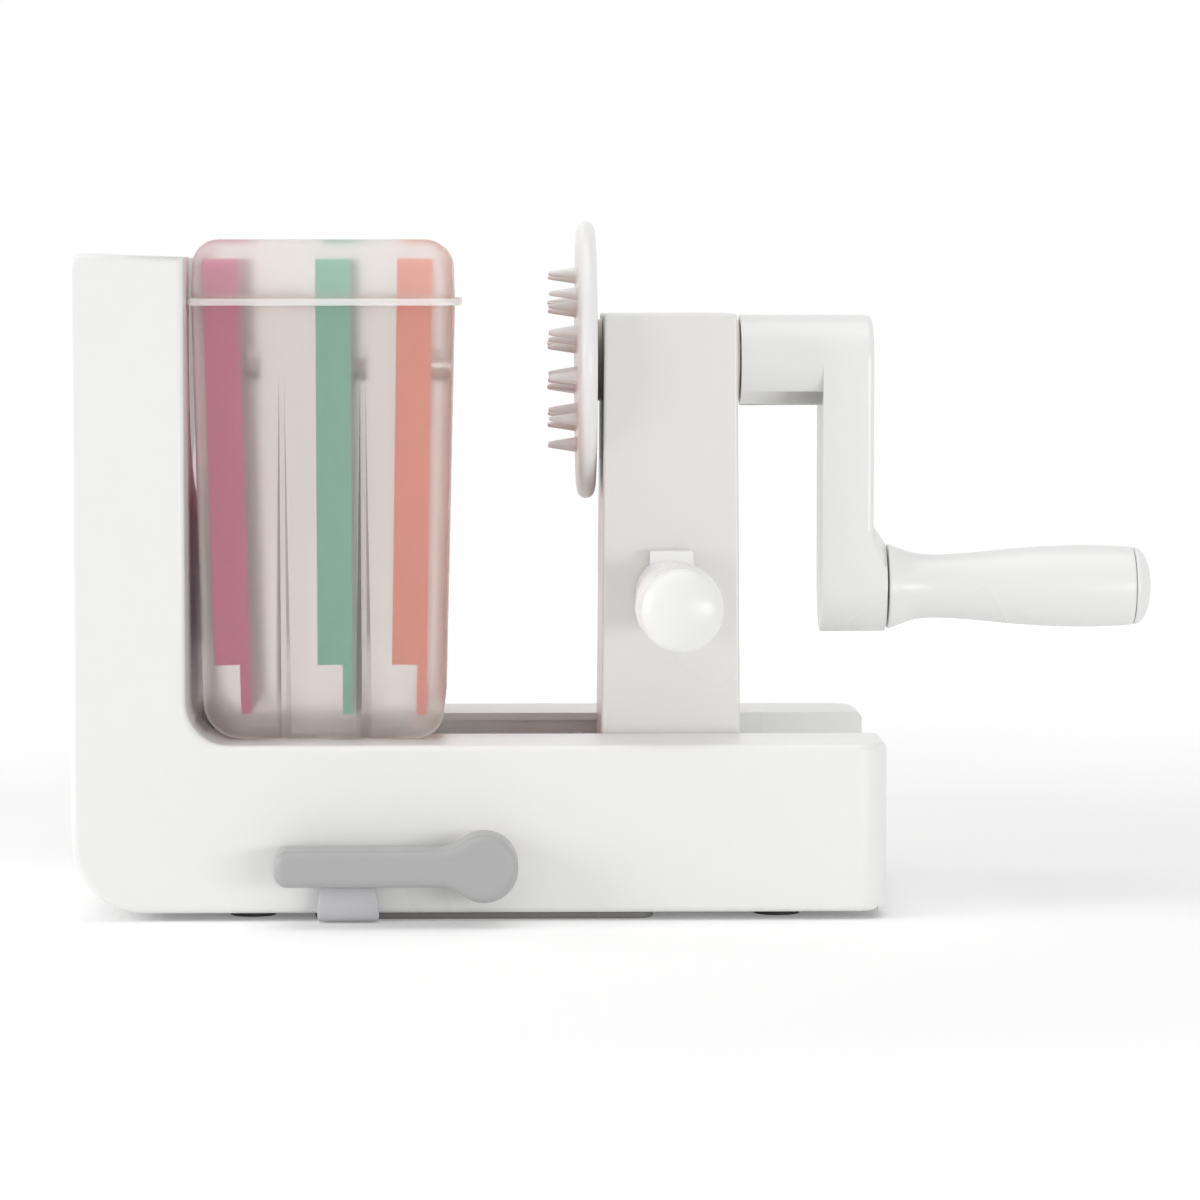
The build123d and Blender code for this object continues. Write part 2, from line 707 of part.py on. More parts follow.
with BuildPart() as side_handle:
    with BuildSketch(side_plane):
        add(grip_face(side_root_radius))
    revolve(axis=Axis(side_plane.origin, side_plane.x_dir))
    rod((column_x, column_front, side_handle_height), (0, 1, 0), socket_radius, socket_length)
    rod((column_x, column_front - grip_seam + head_room, side_handle_height), (0, -1, 0),
        plug_radius, grip_length, mode=Mode.SUBTRACT)
    # pocket for the release button
    pocket_half = 6.7 + slide_gap
    box_between(column_x - pocket_half, column_x + pocket_half,
                column_front + 1, column_front - 7.2,
                catch_low - press_travel - 2.4, catch_high + 20, mode=Mode.SUBTRACT)
    box_between(column_x - catch_width / 2 - slide_gap, column_x + catch_width / 2 + slide_gap,
                column_front, column_front + socket_length + 1,
                catch_low - press_travel - slide_gap, catch_high + 20, mode=Mode.SUBTRACT)
finish(side_handle, "side_handle")

with BuildPart() as side_handle_cap:
    with BuildSketch(side_plane):
        add(cap_face(plug_radius - seat_gap, cap_plug))
    revolve(axis=Axis(side_plane.origin, side_plane.x_dir))
finish(side_handle_cap, "side_handle_cap")

# release button of the side handle, with its catch in the column's window
button_top = side_handle_height + 13.4
with BuildPart() as release_button:
    box_between(column_x - 6.7, column_x + 6.7, column_front - slide_gap,
                column_front - 6.8, catch_low, button_top)
    fillet(release_button.faces().sort_by(Axis.Z)[-1].edges(), 0.8)
    box_between(column_x - catch_width / 2, column_x + catch_width / 2,
                column_front - 1, column_front + column_wall + 3.2, catch_low, catch_high)
    box_between(column_x - catch_width / 2, column_x + catch_width / 2,
                column_front + column_wall + slide_gap, column_front + column_wall + 3.2,
                catch_low, catch_high + 1.7)
finish(release_button, "release_button")

with BuildPart() as button_spring:
    spring_low = catch_low - press_travel - 2.3
    leaf = 0.4
    with BuildSketch(Plane.YZ.offset(column_x)):
        with BuildLine():
            Polyline((column_front - 1.2, spring_low), (column_front - 6.2, spring_low),
                     (column_front - 6.2, spring_low + leaf),
                     (column_front - 2.4, spring_low + leaf),
                     (column_front - 6.2, catch_low - leaf), (column_front - 6.2, catch_low - 0.05),
                     (column_front - 5.4, catch_low - 0.05),
                     (column_front - 1.2, spring_low + 1.2), close=True)
        make_face()
    extrude(amount=3.0, both=True)
finish(button_spring, "button_spring")

# --------------------------------------------------------------------- crank
holder_back = food_side - bush_flange - holder_gap
holder_front = holder_back - holder_thickness
drive_depth = 4.0
with BuildPart() as crank_shaft:
    rod((holder_back + 0.05, 0, axis_height), (1, 0, 0), shaft_radius,
        hub_left - holder_back - 0.1)
    for x, length in ((holder_back + 0.05 - drive_depth, drive_depth),
                      (hub_left - 0.05, hub_length)):
        with BuildSketch(Plane.YZ.offset(x)):
            with Locations((0, axis_height)):
                Rectangle(square_drive, square_drive)
        extrude(amount=length)
    rod((hub_left + hub_length - 14, 0, axis_height), (1, 0, 0), screw_radius + 0.5 + screw_gap,
        20, mode=Mode.SUBTRACT)
finish(crank_shaft, "crank_shaft")

with BuildPart() as food_holder:
    rod((holder_front, 0, axis_height), (1, 0, 0), holder_radius, holder_thickness)
    fillet(food_holder.edges().filter_by(GeomType.CIRCLE), holder_rim)
    with BuildSketch(Plane.YZ.offset(holder_back)):
        with Locations((0, axis_height)):
            Rectangle(square_drive + 2 * seat_gap, square_drive + 2 * seat_gap)
    extrude(amount=-drive_depth - 0.1, mode=Mode.SUBTRACT)
    prong_middle = holder_front - prong_length / 2 + 0.1
    for ring in range(round(prong_rings)):
        reach = prong_ring + ring * prong_ring_step
        count = round(prongs_inside) * (ring + 1)
        for i in range(count):
            turn = 2 * math.pi * (i + 0.35) / count
            place = (prong_middle, reach * math.cos(turn), axis_height + reach * math.sin(turn))
            with Locations(Location(place, (0, -90, 0))):
                Cone(prong_base_radius, prong_tip_radius, prong_length + 0.2)
finish(food_holder, "food_holder")

with BuildPart() as crank_arm:
    rod((hub_left, 0, axis_height), (1, 0, 0), hub_radius, hub_length + arm_thickness / 2)
    with BuildSketch(Plane.YZ.offset(arm_left)):
        with Locations((0, axis_height - crank_throw / 2)):
            SlotCenterToCenter(crank_throw, 2 * hub_radius, rotation=90)
    extrude(amount=arm_thickness)
    # raised boss under the grip, flaring into the arm
    with BuildSketch(Plane.XZ):
        with BuildLine():
            Polyline((arm_right - 1, grip_height), (arm_right - 1, grip_height + flare_radius),
                     (arm_right, grip_height + flare_radius), (boss_face, grip_height + boss_radius),
                     (boss_face, grip_height), close=True)
        make_face()
    revolve(axis=Axis((0, 0, grip_height), (1, 0, 0)))
    with BuildSketch(Plane.YZ.offset(hub_left)):
        with Locations((0, axis_height - crank_throw / 2)):
            SlotCenterToCenter(crank_throw, 2 * hub_radius, rotation=90)
    extrude(amount=boss_face - hub_left + 1, mode=Mode.INTERSECT)
    top_rim = crank_arm.edges().filter_by(
        lambda e: abs(e.center().X - arm_right) < 0.01 and e.center().Z > grip_height + flare_radius)
    fillet(top_rim, arm_edge)
    # square socket for the shaft, screw from the outer face, hole for the pin
    with BuildSketch(Plane.YZ.offset(hub_left)):
        with Locations((0, axis_height)):
            Rectangle(square_drive + 2 * seat_gap, square_drive + 2 * seat_gap)
    extrude(amount=hub_length + 0.2, mode=Mode.SUBTRACT)
    rod((arm_left - 1, 0, axis_height), (1, 0, 0), screw_radius + 0.5 + screw_gap,
        arm_thickness + 2, mode=Mode.SUBTRACT)
    rod((arm_right - 4, 0, axis_height), (1, 0, 0), 5.0, 6, mode=Mode.SUBTRACT)
    rod((arm_left + 3, 0, grip_height), (1, 0, 0), grip_pin_radius + screw_gap, 30,
        mode=Mode.SUBTRACT)
finish(crank_arm, "crank_arm")

with BuildPart() as crank_screw:
    rod((arm_right - 4, 0, axis_height), (1, 0, 0), 4.6, 2.6)
    rod((arm_right - 4, 0, axis_height), (-1, 0, 0), screw_radius + 0.5,
        arm_thickness - 4 + 12)
finish(crank_screw, "crank_screw")

with BuildPart() as grip_pin:
    pin_start = arm_left + 3
    head_at = grip_start + grip_seam - head_room + slide_gap
    rod((pin_start, 0, grip_height), (1, 0, 0), grip_pin_radius, head_at - pin_start)
    rod((head_at, 0, grip_height), (1, 0, 0), grip_pin_head, 2.0)
finish(grip_pin, "grip_pin")

# ----------------------------------------------------------------- blade box
box_draft = math.degrees(math.atan((box_seam_width - box_foot_width) / 2 / (box_seam - rail_top)))
box_slope = math.tan(math.radians(box_draft))
box_foot_depth = box_seam_depth - 2 * (box_seam - rail_top) * box_slope
box_foot = rail_top + 0.2


def tub(inset, ceiling):
    """Outer form of the box, or its hollow when inset by the wall."""
    low = box_foot + inset
    rise = ceiling - box_foot
    foot_x = box_foot_width / 2 - inset + inset * box_slope
    top_x = box_foot_width / 2 - inset + rise * box_slope
    foot_y = box_foot_depth / 2 - inset + inset * box_slope
    top_y = box_foot_depth / 2 - inset + rise * box_slope
    with BuildPart() as form:
        with BuildSketch(Plane.XZ) as front_view:
            with BuildLine():
                Polyline((box_x - foot_x, low), (box_x + foot_x, low),
                         (box_x + top_x, ceiling), (box_x - top_x, ceiling), close=True)
            make_face()
            lows = front_view.vertices().group_by(Axis.Y)[0]
            fillet(lows.sort_by(Axis.X)[0], box_left_radius - inset)
            fillet(front_view.vertices().sort_by_distance((box_x + foot_x, low))[0],
                   box_right_radius - inset)
        extrude(amount=box_seam_depth, both=True)
        with BuildSketch(Plane.YZ.offset(box_x)):
            with BuildLine():
                Polyline((-foot_y, low), (foot_y, low), (top_y, ceiling), (-top_y, ceiling),
                         close=True)
            make_face()
        extrude(amount=box_seam_width, both=True, mode=Mode.INTERSECT)
        rounded = form.faces().sort_by(Axis.Y)[0].edges() + form.faces().sort_by(Axis.Y)[-1].edges()
        rounded = rounded.filter_by(lambda e: e.center().Z < ceiling - 0.1)
        fillet(rounded, box_edge - inset)
    return form.part


def pinch(x, inset):
    """Wedge of a pinch groove at the front, grown by inset for the inside."""
    flank = (groove_width - groove_floor_width) / 2 / pinch_depth
    sections = []
    for height, depth in ((box_foot - 0.5, pinch_depth), (groove_top + 2 * inset, 0.0)):
        surface = box_foot_depth / 2 + (height - box_foot) * box_slope
        floor_y = -surface + depth + inset
        outer_y = -surface - 2.0
        half_floor = groove_floor_width / 2 + inset
        half_outer = half_floor + flank * (floor_y - outer_y)
        with BuildSketch(Plane.XY.offset(height)) as section:
            with BuildLine():
                Polyline((x - half_floor, floor_y), (x + half_floor, floor_y),
                         (x + half_outer, outer_y), (x - half_outer, outer_y), close=True)
            make_face()
        sections.append(section.sketch)
    with BuildPart() as wedge:
        loft(sections, ruled=True)
    return wedge.part


hinge_y = box_seam_depth / 2 + lip_reach + hinge_radius - 0.6
hinge_z = box_seam
half_seam_x = box_seam_width / 2
half_seam_y = box_seam_depth / 2


def seam_lip(z_from):
    """Flat lip round the seam, wider on the crank side."""
    with BuildSketch(Plane.XY.offset(z_from)) as lip:
        with Locations((box_x + (lip_pull - lip_reach) / 2, 0)):
            RectangleRounded(box_seam_width + lip_reach + lip_pull,
                             box_seam_depth + 2 * lip_reach, box_edge + lip_reach)
        with Locations((box_x, 0)):
            RectangleRounded(box_seam_width - 1, box_seam_depth - 1, box_edge - 0.5,
                             mode=Mode.SUBTRACT)
    extrude(lip.sketch, amount=lip_thickness)


def clear_hinge():
    """Stops the seam's lip on both sides of the hinge."""
    reach = hinge_offset + hinge_ear / 2 + slide_gap
    box_between(box_x - reach, box_x + reach, half_seam_y + 0.05, half_seam_y + 5,
                box_seam - 2 * lip_thickness, box_seam + 2 * lip_thickness, mode=Mode.SUBTRACT)


cassette_foot = rail_top + cassette_lift
with BuildPart() as blade_box:
    add(tub(0.0, box_seam))
    for x in groove_x:
        add(pinch(x, 0.0), mode=Mode.SUBTRACT)
        add(mirror(pinch(x, 0.0), about=Plane.XZ), mode=Mode.SUBTRACT)
    with BuildPart(mode=Mode.PRIVATE) as hollow:
        add(tub(box_wall, box_seam + 1))
        for x in groove_x:
            add(pinch(x, pinch_wall), mode=Mode.SUBTRACT)
            add(mirror(pinch(x, pinch_wall), about=Plane.XZ), mode=Mode.SUBTRACT)
    add(hollow.part, mode=Mode.SUBTRACT)
    seam_lip(box_seam - lip_thickness)
    # inner rim that centres the lid
    rim_outer = box_wall + slide_gap
    with BuildSketch(Plane.XY.offset(box_seam - 3)):
        with Locations((box_x, 0)):
            RectangleRounded(box_seam_width - 2 * box_wall + 0.4,
                             box_seam_depth - 2 * box_wall + 0.4, box_edge - box_wall + 0.2)
            RectangleRounded(box_seam_width - 2 * (rim_outer + rim_wall),
                             box_seam_depth - 2 * (rim_outer + rim_wall), 1.5, mode=Mode.SUBTRACT)
    extrude(amount=3.0)
    with BuildSketch(Plane.XY.offset(box_seam)):
        with Locations((box_x, 0)):
            RectangleRounded(box_seam_width - 2 * rim_outer, box_seam_depth - 2 * rim_outer,
                             box_edge - rim_outer + 0.2)
            RectangleRounded(box_seam_width - 2 * (rim_outer + rim_wall),
                             box_seam_depth - 2 * (rim_outer + rim_wall), 1.5, mode=Mode.SUBTRACT)
    extrude(amount=rim_rise)
    # saddles that carry the stored cassettes
    for middle, lean, pitch in cassettes.values():
        foot_shift = math.tan(math.radians(lean)) * cassette_height / 2
        plate_x = middle - foot_shift + rail_thickness / 2 - plate_skin / 2
        for side in (-1, 1):
            box_between(plate_x - saddle_width / 2, plate_x + saddle_width / 2,
                        side * (saddle_y - saddle_length / 2), side * (saddle_y + saddle_length / 2),
                        box_foot + box_wall - 0.2, cassette_foot - slide_gap / 2)
    clear_hinge()
    # outer hinge ears at the back
    for side in (-1, 1):
        rod((box_x + side * hinge_offset - hinge_ear / 2, hinge_y, hinge_z), (1, 0, 0),
            hinge_radius, hinge_ear)
        box_between(box_x + side * hinge_offset - hinge_ear / 2,
                    box_x + side * hinge_offset + hinge_ear / 2,
                    half_seam_y - 0.5, hinge_y, hinge_z - hinge_radius, hinge_z - slide_gap)
        rod((box_x + side * hinge_offset - hinge_ear, hinge_y, hinge_z), (1, 0, 0),
            hinge_pin_radius + running_gap, 2 * hinge_ear, mode=Mode.SUBTRACT)
finish(blade_box, "blade_box")


def lid_form(inset):
    """Outer form of the lid, or its hollow when inset by the wall."""
    fall = (box_top - box_seam) * math.tan(math.radians(lid_draft))
    foot_x = half_seam_x - inset
    foot_y = half_seam_y - inset
    top = box_top - inset
    with BuildPart() as form:
        with BuildSketch(Plane.XZ) as front_view:
            with BuildLine():
                Polyline((box_x - foot_x, box_seam), (box_x + foot_x, box_seam),
                         (box_x + foot_x - fall, top), (box_x - foot_x + fall, top), close=True)
            make_face()
            fillet(front_view.vertices().group_by(Axis.Y)[-1], lid_radius - inset)
        extrude(amount=box_seam_depth, both=True)
        with BuildSketch(Plane.YZ.offset(box_x)):
            with BuildLine():
                Polyline((-foot_y, box_seam), (foot_y, box_seam), (foot_y - fall, top),
                         (fall - foot_y, top), close=True)
            make_face()
        extrude(amount=box_seam_width, both=True, mode=Mode.INTERSECT)
        rounded = form.faces().sort_by(Axis.Y)[0].edges() + form.faces().sort_by(Axis.Y)[-1].edges()
        rounded = rounded.filter_by(lambda e: e.center().Z > box_seam + 0.1)
        fillet(rounded, box_edge - inset)
    return form.part


with BuildPart() as box_lid:
    add(lid_form(0.0))
    add(lid_form(box_wall), mode=Mode.SUBTRACT)
    seam_lip(box_seam + seat_gap)
    clear_hinge()
    # middle knuckle of the hinge, between the box's ears
    knuckle_half = hinge_offset - hinge_ear / 2 - slide_gap
    rod((box_x - knuckle_half, hinge_y, hinge_z), (1, 0, 0), hinge_radius, 2 * knuckle_half)
    box_between(box_x - knuckle_half, box_x + knuckle_half, half_seam_y - 0.5, hinge_y,
                hinge_z + 0.05, hinge_z + hinge_radius)
    rod((box_x - knuckle_half - 1, hinge_y, hinge_z), (1, 0, 0),
        hinge_pin_radius + running_gap, 2 * knuckle_half + 2, mode=Mode.SUBTRACT)
finish(box_lid, "box_lid")

with BuildPart() as lid_hinge_pin:
    pin_half = hinge_offset + hinge_ear / 2 - 0.5
    rod((box_x - pin_half, hinge_y, hinge_z), (1, 0, 0), hinge_pin_radius, 2 * pin_half)
finish(lid_hinge_pin, "lid_hinge_pin")

# ------------------------------------------------------------ blade cassettes
# Local frame of a cassette: X across its thickness with the face plate at the
# food side, Y across its width, Z up from the plate's foot.
window_low = axis_height - slot_floor - 2.0
window_high = window_low + 11.0
for kind, (middle, lean, pitch) in cassettes.items():
    stored = (Location((middle, 0, cassette_foot + cassette_height / 2), (0, lean, 0))
              * Location((0, 0, -cassette_height / 2)))
    face_x = rail_thickness / 2
    back_x = -rail_thickness / 2
    half_cassette = cassette_width / 2
    with BuildPart() as frame:
        box_between(face_x - plate_skin, face_x, -half_cassette, half_cassette,
                    0, cassette_height)
        for side in (-1, 1):
            box_between(back_x, face_x - plate_skin + 0.5, side * half_cassette,
                        side * (half_cassette - rail_width), rail_lift, cassette_height)
        box_between(back_x, face_x - plate_skin + 0.5, -half_cassette, half_cassette,
                    cassette_height - rail_width, cassette_height)
        fillet(frame.edges().filter_by(Axis.X).group_by(Axis.Z)[-1], 2.5)
        # window that the noodles pass through, slit for the teeth, ring's hole
        box_between(back_x, face_x + 1, ring_radius + 2, ring_radius + 2 + blade_length,
                    window_low, window_high, mode=Mode.SUBTRACT)
        rod((back_x, 0, window_low + 2), (1, 0, 0), ring_radius, rail_thickness + 1,
            mode=Mode.SUBTRACT)
        if pitch:
            box_between(back_x, face_x + 1, -ring_radius - 2 - blade_length, -ring_radius - 2,
                        window_low + 2, window_low + 2 + tooth_thickness, mode=Mode.SUBTRACT)
    frame.part.locate(stored)
    finish(frame, f"{kind}_cassette_frame")

    with BuildPart() as ring:
        rod((face_x - plate_skin, 0, window_low + 2), (1, 0, 0), ring_radius,
            plate_skin + ring_reach)
        rod((face_x - plate_skin - 1, 0, window_low + 2), (1, 0, 0), ring_radius - ring_wall,
            plate_skin + ring_reach + 2, mode=Mode.SUBTRACT)
    ring.part.locate(stored)
    finish(ring, f"{kind}_coring_ring")

    with BuildPart() as blade:
        across = Vector(math.cos(math.radians(blade_slope)), math.sin(math.radians(blade_slope)))
        along = Vector(-across.Y, across.X)
        edge = Vector(face_x + blade_edge, window_low + 2.2)
        heel = edge + along * blade_width
        with BuildSketch(Plane.XZ.offset(-ring_radius - 2 - 0.2)):
            with BuildLine():
                Polyline(edge, heel, heel - across * blade_thickness,
                         edge + along * 2 - across * blade_thickness, close=True)
            make_face()
        extrude(amount=-blade_length + 0.4)
    blade.part.locate(stored)
    finish(blade, f"{kind}_slicing_blade")

    if pitch:
        with BuildPart() as teeth:
            start = -ring_radius - 2 - 0.1
            count = int((blade_length - 1) / pitch)
            box_between(face_x - plate_skin, face_x - 0.2, start, start - blade_length + 0.2,
                        window_low + 2, window_low + 2 + tooth_thickness)
            for i in range(count):
                with BuildSketch(Plane.XY.offset(window_low + 2)):
                    with BuildLine():
                        root = start - 1 - i * pitch
                        Polyline((face_x - 0.3, root), (face_x + tooth_reach, root - 0.6),
                                 (face_x - 0.3, root - 2.4), close=True)
                    make_face()
                extrude(amount=tooth_thickness)
        teeth.part.locate(stored)
        finish(teeth, f"{kind}_tooth_strip")
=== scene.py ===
# %% [markdown]
# # A hand-cranked spiralizer, seen as in a shop photograph
# The solids come from CAD and are loaded as a fixed frame, so every size is
# already right. What is left for Blender is the look: the way each plastic,
# rubber and steel takes the light, and a few pieces whose soft moulded shapes
# are easier to get right with mesh tools than with solids.

# %% Load the frame
import bpy
import json
import math
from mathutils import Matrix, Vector


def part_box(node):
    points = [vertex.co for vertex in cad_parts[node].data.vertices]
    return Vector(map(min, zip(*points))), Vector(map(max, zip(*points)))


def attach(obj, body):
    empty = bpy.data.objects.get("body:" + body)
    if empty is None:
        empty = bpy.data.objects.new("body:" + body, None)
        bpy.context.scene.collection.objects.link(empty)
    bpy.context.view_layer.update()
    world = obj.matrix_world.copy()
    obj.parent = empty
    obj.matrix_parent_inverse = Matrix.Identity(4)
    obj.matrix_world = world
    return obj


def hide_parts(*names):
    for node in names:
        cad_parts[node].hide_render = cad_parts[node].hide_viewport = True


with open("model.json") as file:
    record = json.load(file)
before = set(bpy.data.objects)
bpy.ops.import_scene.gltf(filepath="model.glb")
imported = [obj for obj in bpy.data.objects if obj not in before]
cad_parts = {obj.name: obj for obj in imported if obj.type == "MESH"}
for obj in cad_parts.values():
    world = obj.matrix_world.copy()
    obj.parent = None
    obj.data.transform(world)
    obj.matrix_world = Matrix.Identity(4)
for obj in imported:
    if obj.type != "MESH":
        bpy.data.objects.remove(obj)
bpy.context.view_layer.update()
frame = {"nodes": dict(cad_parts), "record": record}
nodes = frame["nodes"]
print("CAD pieces:", len(nodes))

# %% [markdown]
# ## Small helpers
# Colours are written as the hex values that a screen shows, and Blender wants
# them linear, so one function turns one into the other. A node is always
# added in the same way: make it, set its switches, fill its sockets, link it.
# Writing that once keeps every material below short enough to read.

# %% Helpers
def linear(hex_colour):
    """Turns a screen colour such as #F2F2F0 into linear RGBA."""
    rgba = []
    for place in (1, 3, 5):
        part = int(hex_colour[place:place + 2], 16) / 255
        rgba.append(part / 12.92 if part <= 0.04045 else ((part + 0.055) / 1.055) ** 2.4)
    return (*rgba, 1.0)


def add_node(tree, kind, values=None, links=None, **switches):
    """Adds one node, sets its switches and sockets, and links its inputs."""
    made = tree.nodes.new(kind)
    for key, value in switches.items():
        setattr(made, key, value)
    for key, value in (values or {}).items():
        made.inputs[key].default_value = value
    for key, source in (links or {}).items():
        tree.links.new(source, made.inputs[key])
    return made


def new_material(name, **values):
    """A Principled material with its plain numbers set on the shader itself."""
    made = bpy.data.materials.new(name)
    made.use_nodes = True
    shader = made.node_tree.nodes["Principled BSDF"]
    for key, value in values.items():
        shader.inputs[key.replace("_", " ")].default_value = value
    return made, made.node_tree, shader


# %% [markdown]
# ## Camera
# The photograph was taken from straight in front with a long lens, a little
# above the object. Lines that run away from the viewer meet at one point on
# the picture, and that point gave the turn and the tilt of the camera. The
# distance came from how much the near rail is wider than the far one.

# %% Place the camera
picture_px = 1200           # width of the picture
focal_px = 4622.0           # focal length, in the picture's pixels
rails_meet_px = 110         # how far beside the middle the rails' lines meet
horizon_px = 321            # how far above the middle the horizon lies
sensor_mm = 36.0
camera_place = (0.0020, -1.460, 0.194)
turn = math.atan(rails_meet_px / focal_px)
tilt = math.atan(horizon_px / focal_px)
bpy.ops.object.select_all(action="DESELECT")
bpy.ops.object.camera_add(
    location=camera_place,
    rotation=(math.radians(90) - tilt, 0, -turn),
)
camera = bpy.context.object
camera.name = "shop_camera"
camera.data.sensor_width = sensor_mm
camera.data.lens = focal_px * sensor_mm / picture_px
camera.data.clip_end = 50
bpy.context.scene.camera = camera
print("lens", round(camera.data.lens, 1), "mm")

# %% [markdown]
# ## Floor
# The object stands on white paper that runs on out of sight. A camera sees
# the paper as pure white except where the object shades it, so the paper's
# material adds a little light of its own. It does so only for the rays that
# end up in the picture, straight, by a reflection or through the frosted box:
# the shadow stays, and no extra light reaches the object. The glow grows with
# the distance, so that the far edge of the paper fades into the background.

# %% Floor
paper_size = 3.2
glow_near, glow_far = 0.16, 0.55        # strength of the paper's own light
near_m, far_m = 0.3, 1.2                # where the glow starts and stops growing


def seen_rays(tree):
    """1 for a ray that shows the background: seen, reflected or let through."""
    rays = add_node(tree, "ShaderNodeLightPath")
    seen = rays.outputs["Is Camera Ray"]
    for kind in ("Is Glossy Ray", "Is Transmission Ray"):
        seen = add_node(tree, "ShaderNodeMath", links={0: seen, 1: rays.outputs[kind]},
                        operation="MAXIMUM").outputs[0]
    return seen


bpy.ops.object.select_all(action="DESELECT")
bpy.ops.mesh.primitive_plane_add(size=paper_size, location=(0, 0, 0))
floor = bpy.context.object
floor.name = "paper_floor"
paper = bpy.data.materials.new("white_background_paper")
paper.use_nodes = True
tree = paper.node_tree
tree.nodes.clear()
spot = add_node(tree, "ShaderNodeTexCoord")
away = add_node(tree, "ShaderNodeVectorMath", links={0: spot.outputs["Object"]},
                operation="LENGTH")
more = add_node(tree, "ShaderNodeMapRange",
                {"From Min": near_m, "From Max": far_m, "To Min": glow_near, "To Max": glow_far},
                {"Value": away.outputs["Value"]})
lift = add_node(tree, "ShaderNodeMath", links={0: seen_rays(tree), 1: more.outputs[0]},
                operation="MULTIPLY")
glow = add_node(tree, "ShaderNodeEmission", links={"Strength": lift.outputs[0]})
matt = add_node(tree, "ShaderNodeBsdfDiffuse", values={"Color": linear("#FCFCFC")})
both = add_node(tree, "ShaderNodeAddShader", links={0: glow.outputs[0], 1: matt.outputs[0]})
add_node(tree, "ShaderNodeOutputMaterial", links={"Surface": both.outputs[0]})
floor.data.materials.append(paper)
print("paper", paper_size, "m wide")

# %% [markdown]
# ## World and lamps
# The light is a soft white dome with a large lamp above and one at the left,
# whose side of the column is bright in the photograph. A low lamp at the right
# lights the underside of the crank, which is bright there too. What these
# lamps don't reproduce is the front of the column, which in the photograph
# grows darker towards the food disc.

# %% World and lamps
dome_strength = 0.50
world = bpy.data.worlds.new("studio_dome")
bpy.context.scene.world = world
world.use_nodes = True
tree = world.node_tree
tree.nodes.clear()
dome = add_node(tree, "ShaderNodeBackground",
                values={"Color": linear("#FFFFFF"), "Strength": dome_strength})
white = add_node(tree, "ShaderNodeBackground",
                 values={"Color": linear("#FFFFFF"), "Strength": 1.0})
pick = add_node(tree, "ShaderNodeMixShader", links={0: seen_rays(tree), 1: dome.outputs[0],
                                                    2: white.outputs[0]})
add_node(tree, "ShaderNodeOutputWorld", links={"Surface": pick.outputs[0]})


def softbox(name, place, aim, width, height, watts):
    """A rectangular studio lamp that points at a place."""
    bpy.ops.object.light_add(type="AREA", location=place)
    lamp = bpy.context.object
    lamp.name = name
    lamp.data.shape = "RECTANGLE"
    lamp.data.size = width
    lamp.data.size_y = height
    lamp.data.energy = watts
    lamp.rotation_euler = (Vector(aim) - Vector(place)).to_track_quat("-Z", "Y").to_euler()
    print(name, watts, "W")


softbox("overhead_softbox", (0.0, -0.1, 1.5), (0, 0, 0.1), width=1.4, height=1.2, watts=6)
softbox("left_softbox", (-1.5, -0.52, 0.45), (0.0, 0, 0.12), width=1.0, height=0.8, watts=11)
softbox("low_right_fill", (0.85, -1.15, 0.13), (0.1, 0, 0.14), width=0.8, height=0.25, watts=4)
bpy.context.scene.view_settings.view_transform = "Standard"

# %% [markdown]
# ## Glossy white ABS
# Housing, column, crank and grips are injection-moulded ABS from a polished
# mould. It reads as a clean white with a soft, wide highlight. The surface is
# not perfectly flat: plastic shrinks over the ribs behind it, which gives
# waves some centimetres long, and the mould's polish leaves a faint grain of
# about half a millimetre that only breaks up the edges of reflections. The
# column is the same plastic but gets a slightly greyer white, which is painted
# shade: its front is darker than the housing's, and the lamps don't make it so.

# %% White ABS
grain_mm, sink_mm = 0.5, 60     # lengths of the mould's grain and of the sink waves
sink_wave = 0.012               # strength of the waves
uneven = 0.02                   # how far the roughness strays either way
darkest = 0.985                 # the darkest tint, as a share of the colour


def moulded_plastic(name, colour, roughness, grain=0.02, **values):
    """An injection-moulded plastic with fine mould grain and long sink waves."""
    made, tree, shader = new_material(name, Roughness=roughness, **values)
    place = add_node(tree, "ShaderNodeTexCoord")
    fine = add_node(tree, "ShaderNodeTexNoise", {"Scale": 1000 / grain_mm, "Detail": 2.0},
                    {"Vector": place.outputs["Object"]})
    long = add_node(tree, "ShaderNodeTexNoise", {"Scale": 1000 / sink_mm, "Detail": 1.0},
                    {"Vector": place.outputs["Object"]})
    waves = add_node(tree, "ShaderNodeBump", {"Strength": sink_wave, "Distance": 0.001},
                     {"Height": long.outputs[0]})
    bump = add_node(tree, "ShaderNodeBump", {"Strength": grain, "Distance": 0.0001},
                    {"Height": fine.outputs[0], "Normal": waves.outputs[0]})
    spread = add_node(tree, "ShaderNodeMapRange",
                      {"To Min": roughness - uneven, "To Max": roughness + uneven},
                      {"Value": long.outputs[0]})
    tint = add_node(tree, "ShaderNodeValToRGB", links={0: long.outputs[0]})
    tint.color_ramp.elements[0].color = [c * darkest for c in linear(colour)[:3]] + [1]
    tint.color_ramp.elements[1].color = linear(colour)
    tree.links.new(bump.outputs[0], shader.inputs["Normal"])
    tree.links.new(spread.outputs[0], shader.inputs["Roughness"])
    tree.links.new(tint.outputs[0], shader.inputs["Base Color"])
    return made


white_abs = moulded_plastic("abs_polished_white", "#F4F4F3", 0.28, IOR=1.53)
# painted shade: the housing's ABS in a greyer white, for the column's darker front
column_abs_painted_shade = moulded_plastic("abs_polished_white_painted_shade", "#E9E8E5", 0.28, IOR=1.53)
print("plastics:", white_abs.name, "and", column_abs_painted_shade.name)

# %% [markdown]
# ## The other plastics
# The lever is a satin polypropylene, greyer and duller than the housing. The
# bushes are acetal, which is waxy. The three cassettes are dyed ABS.

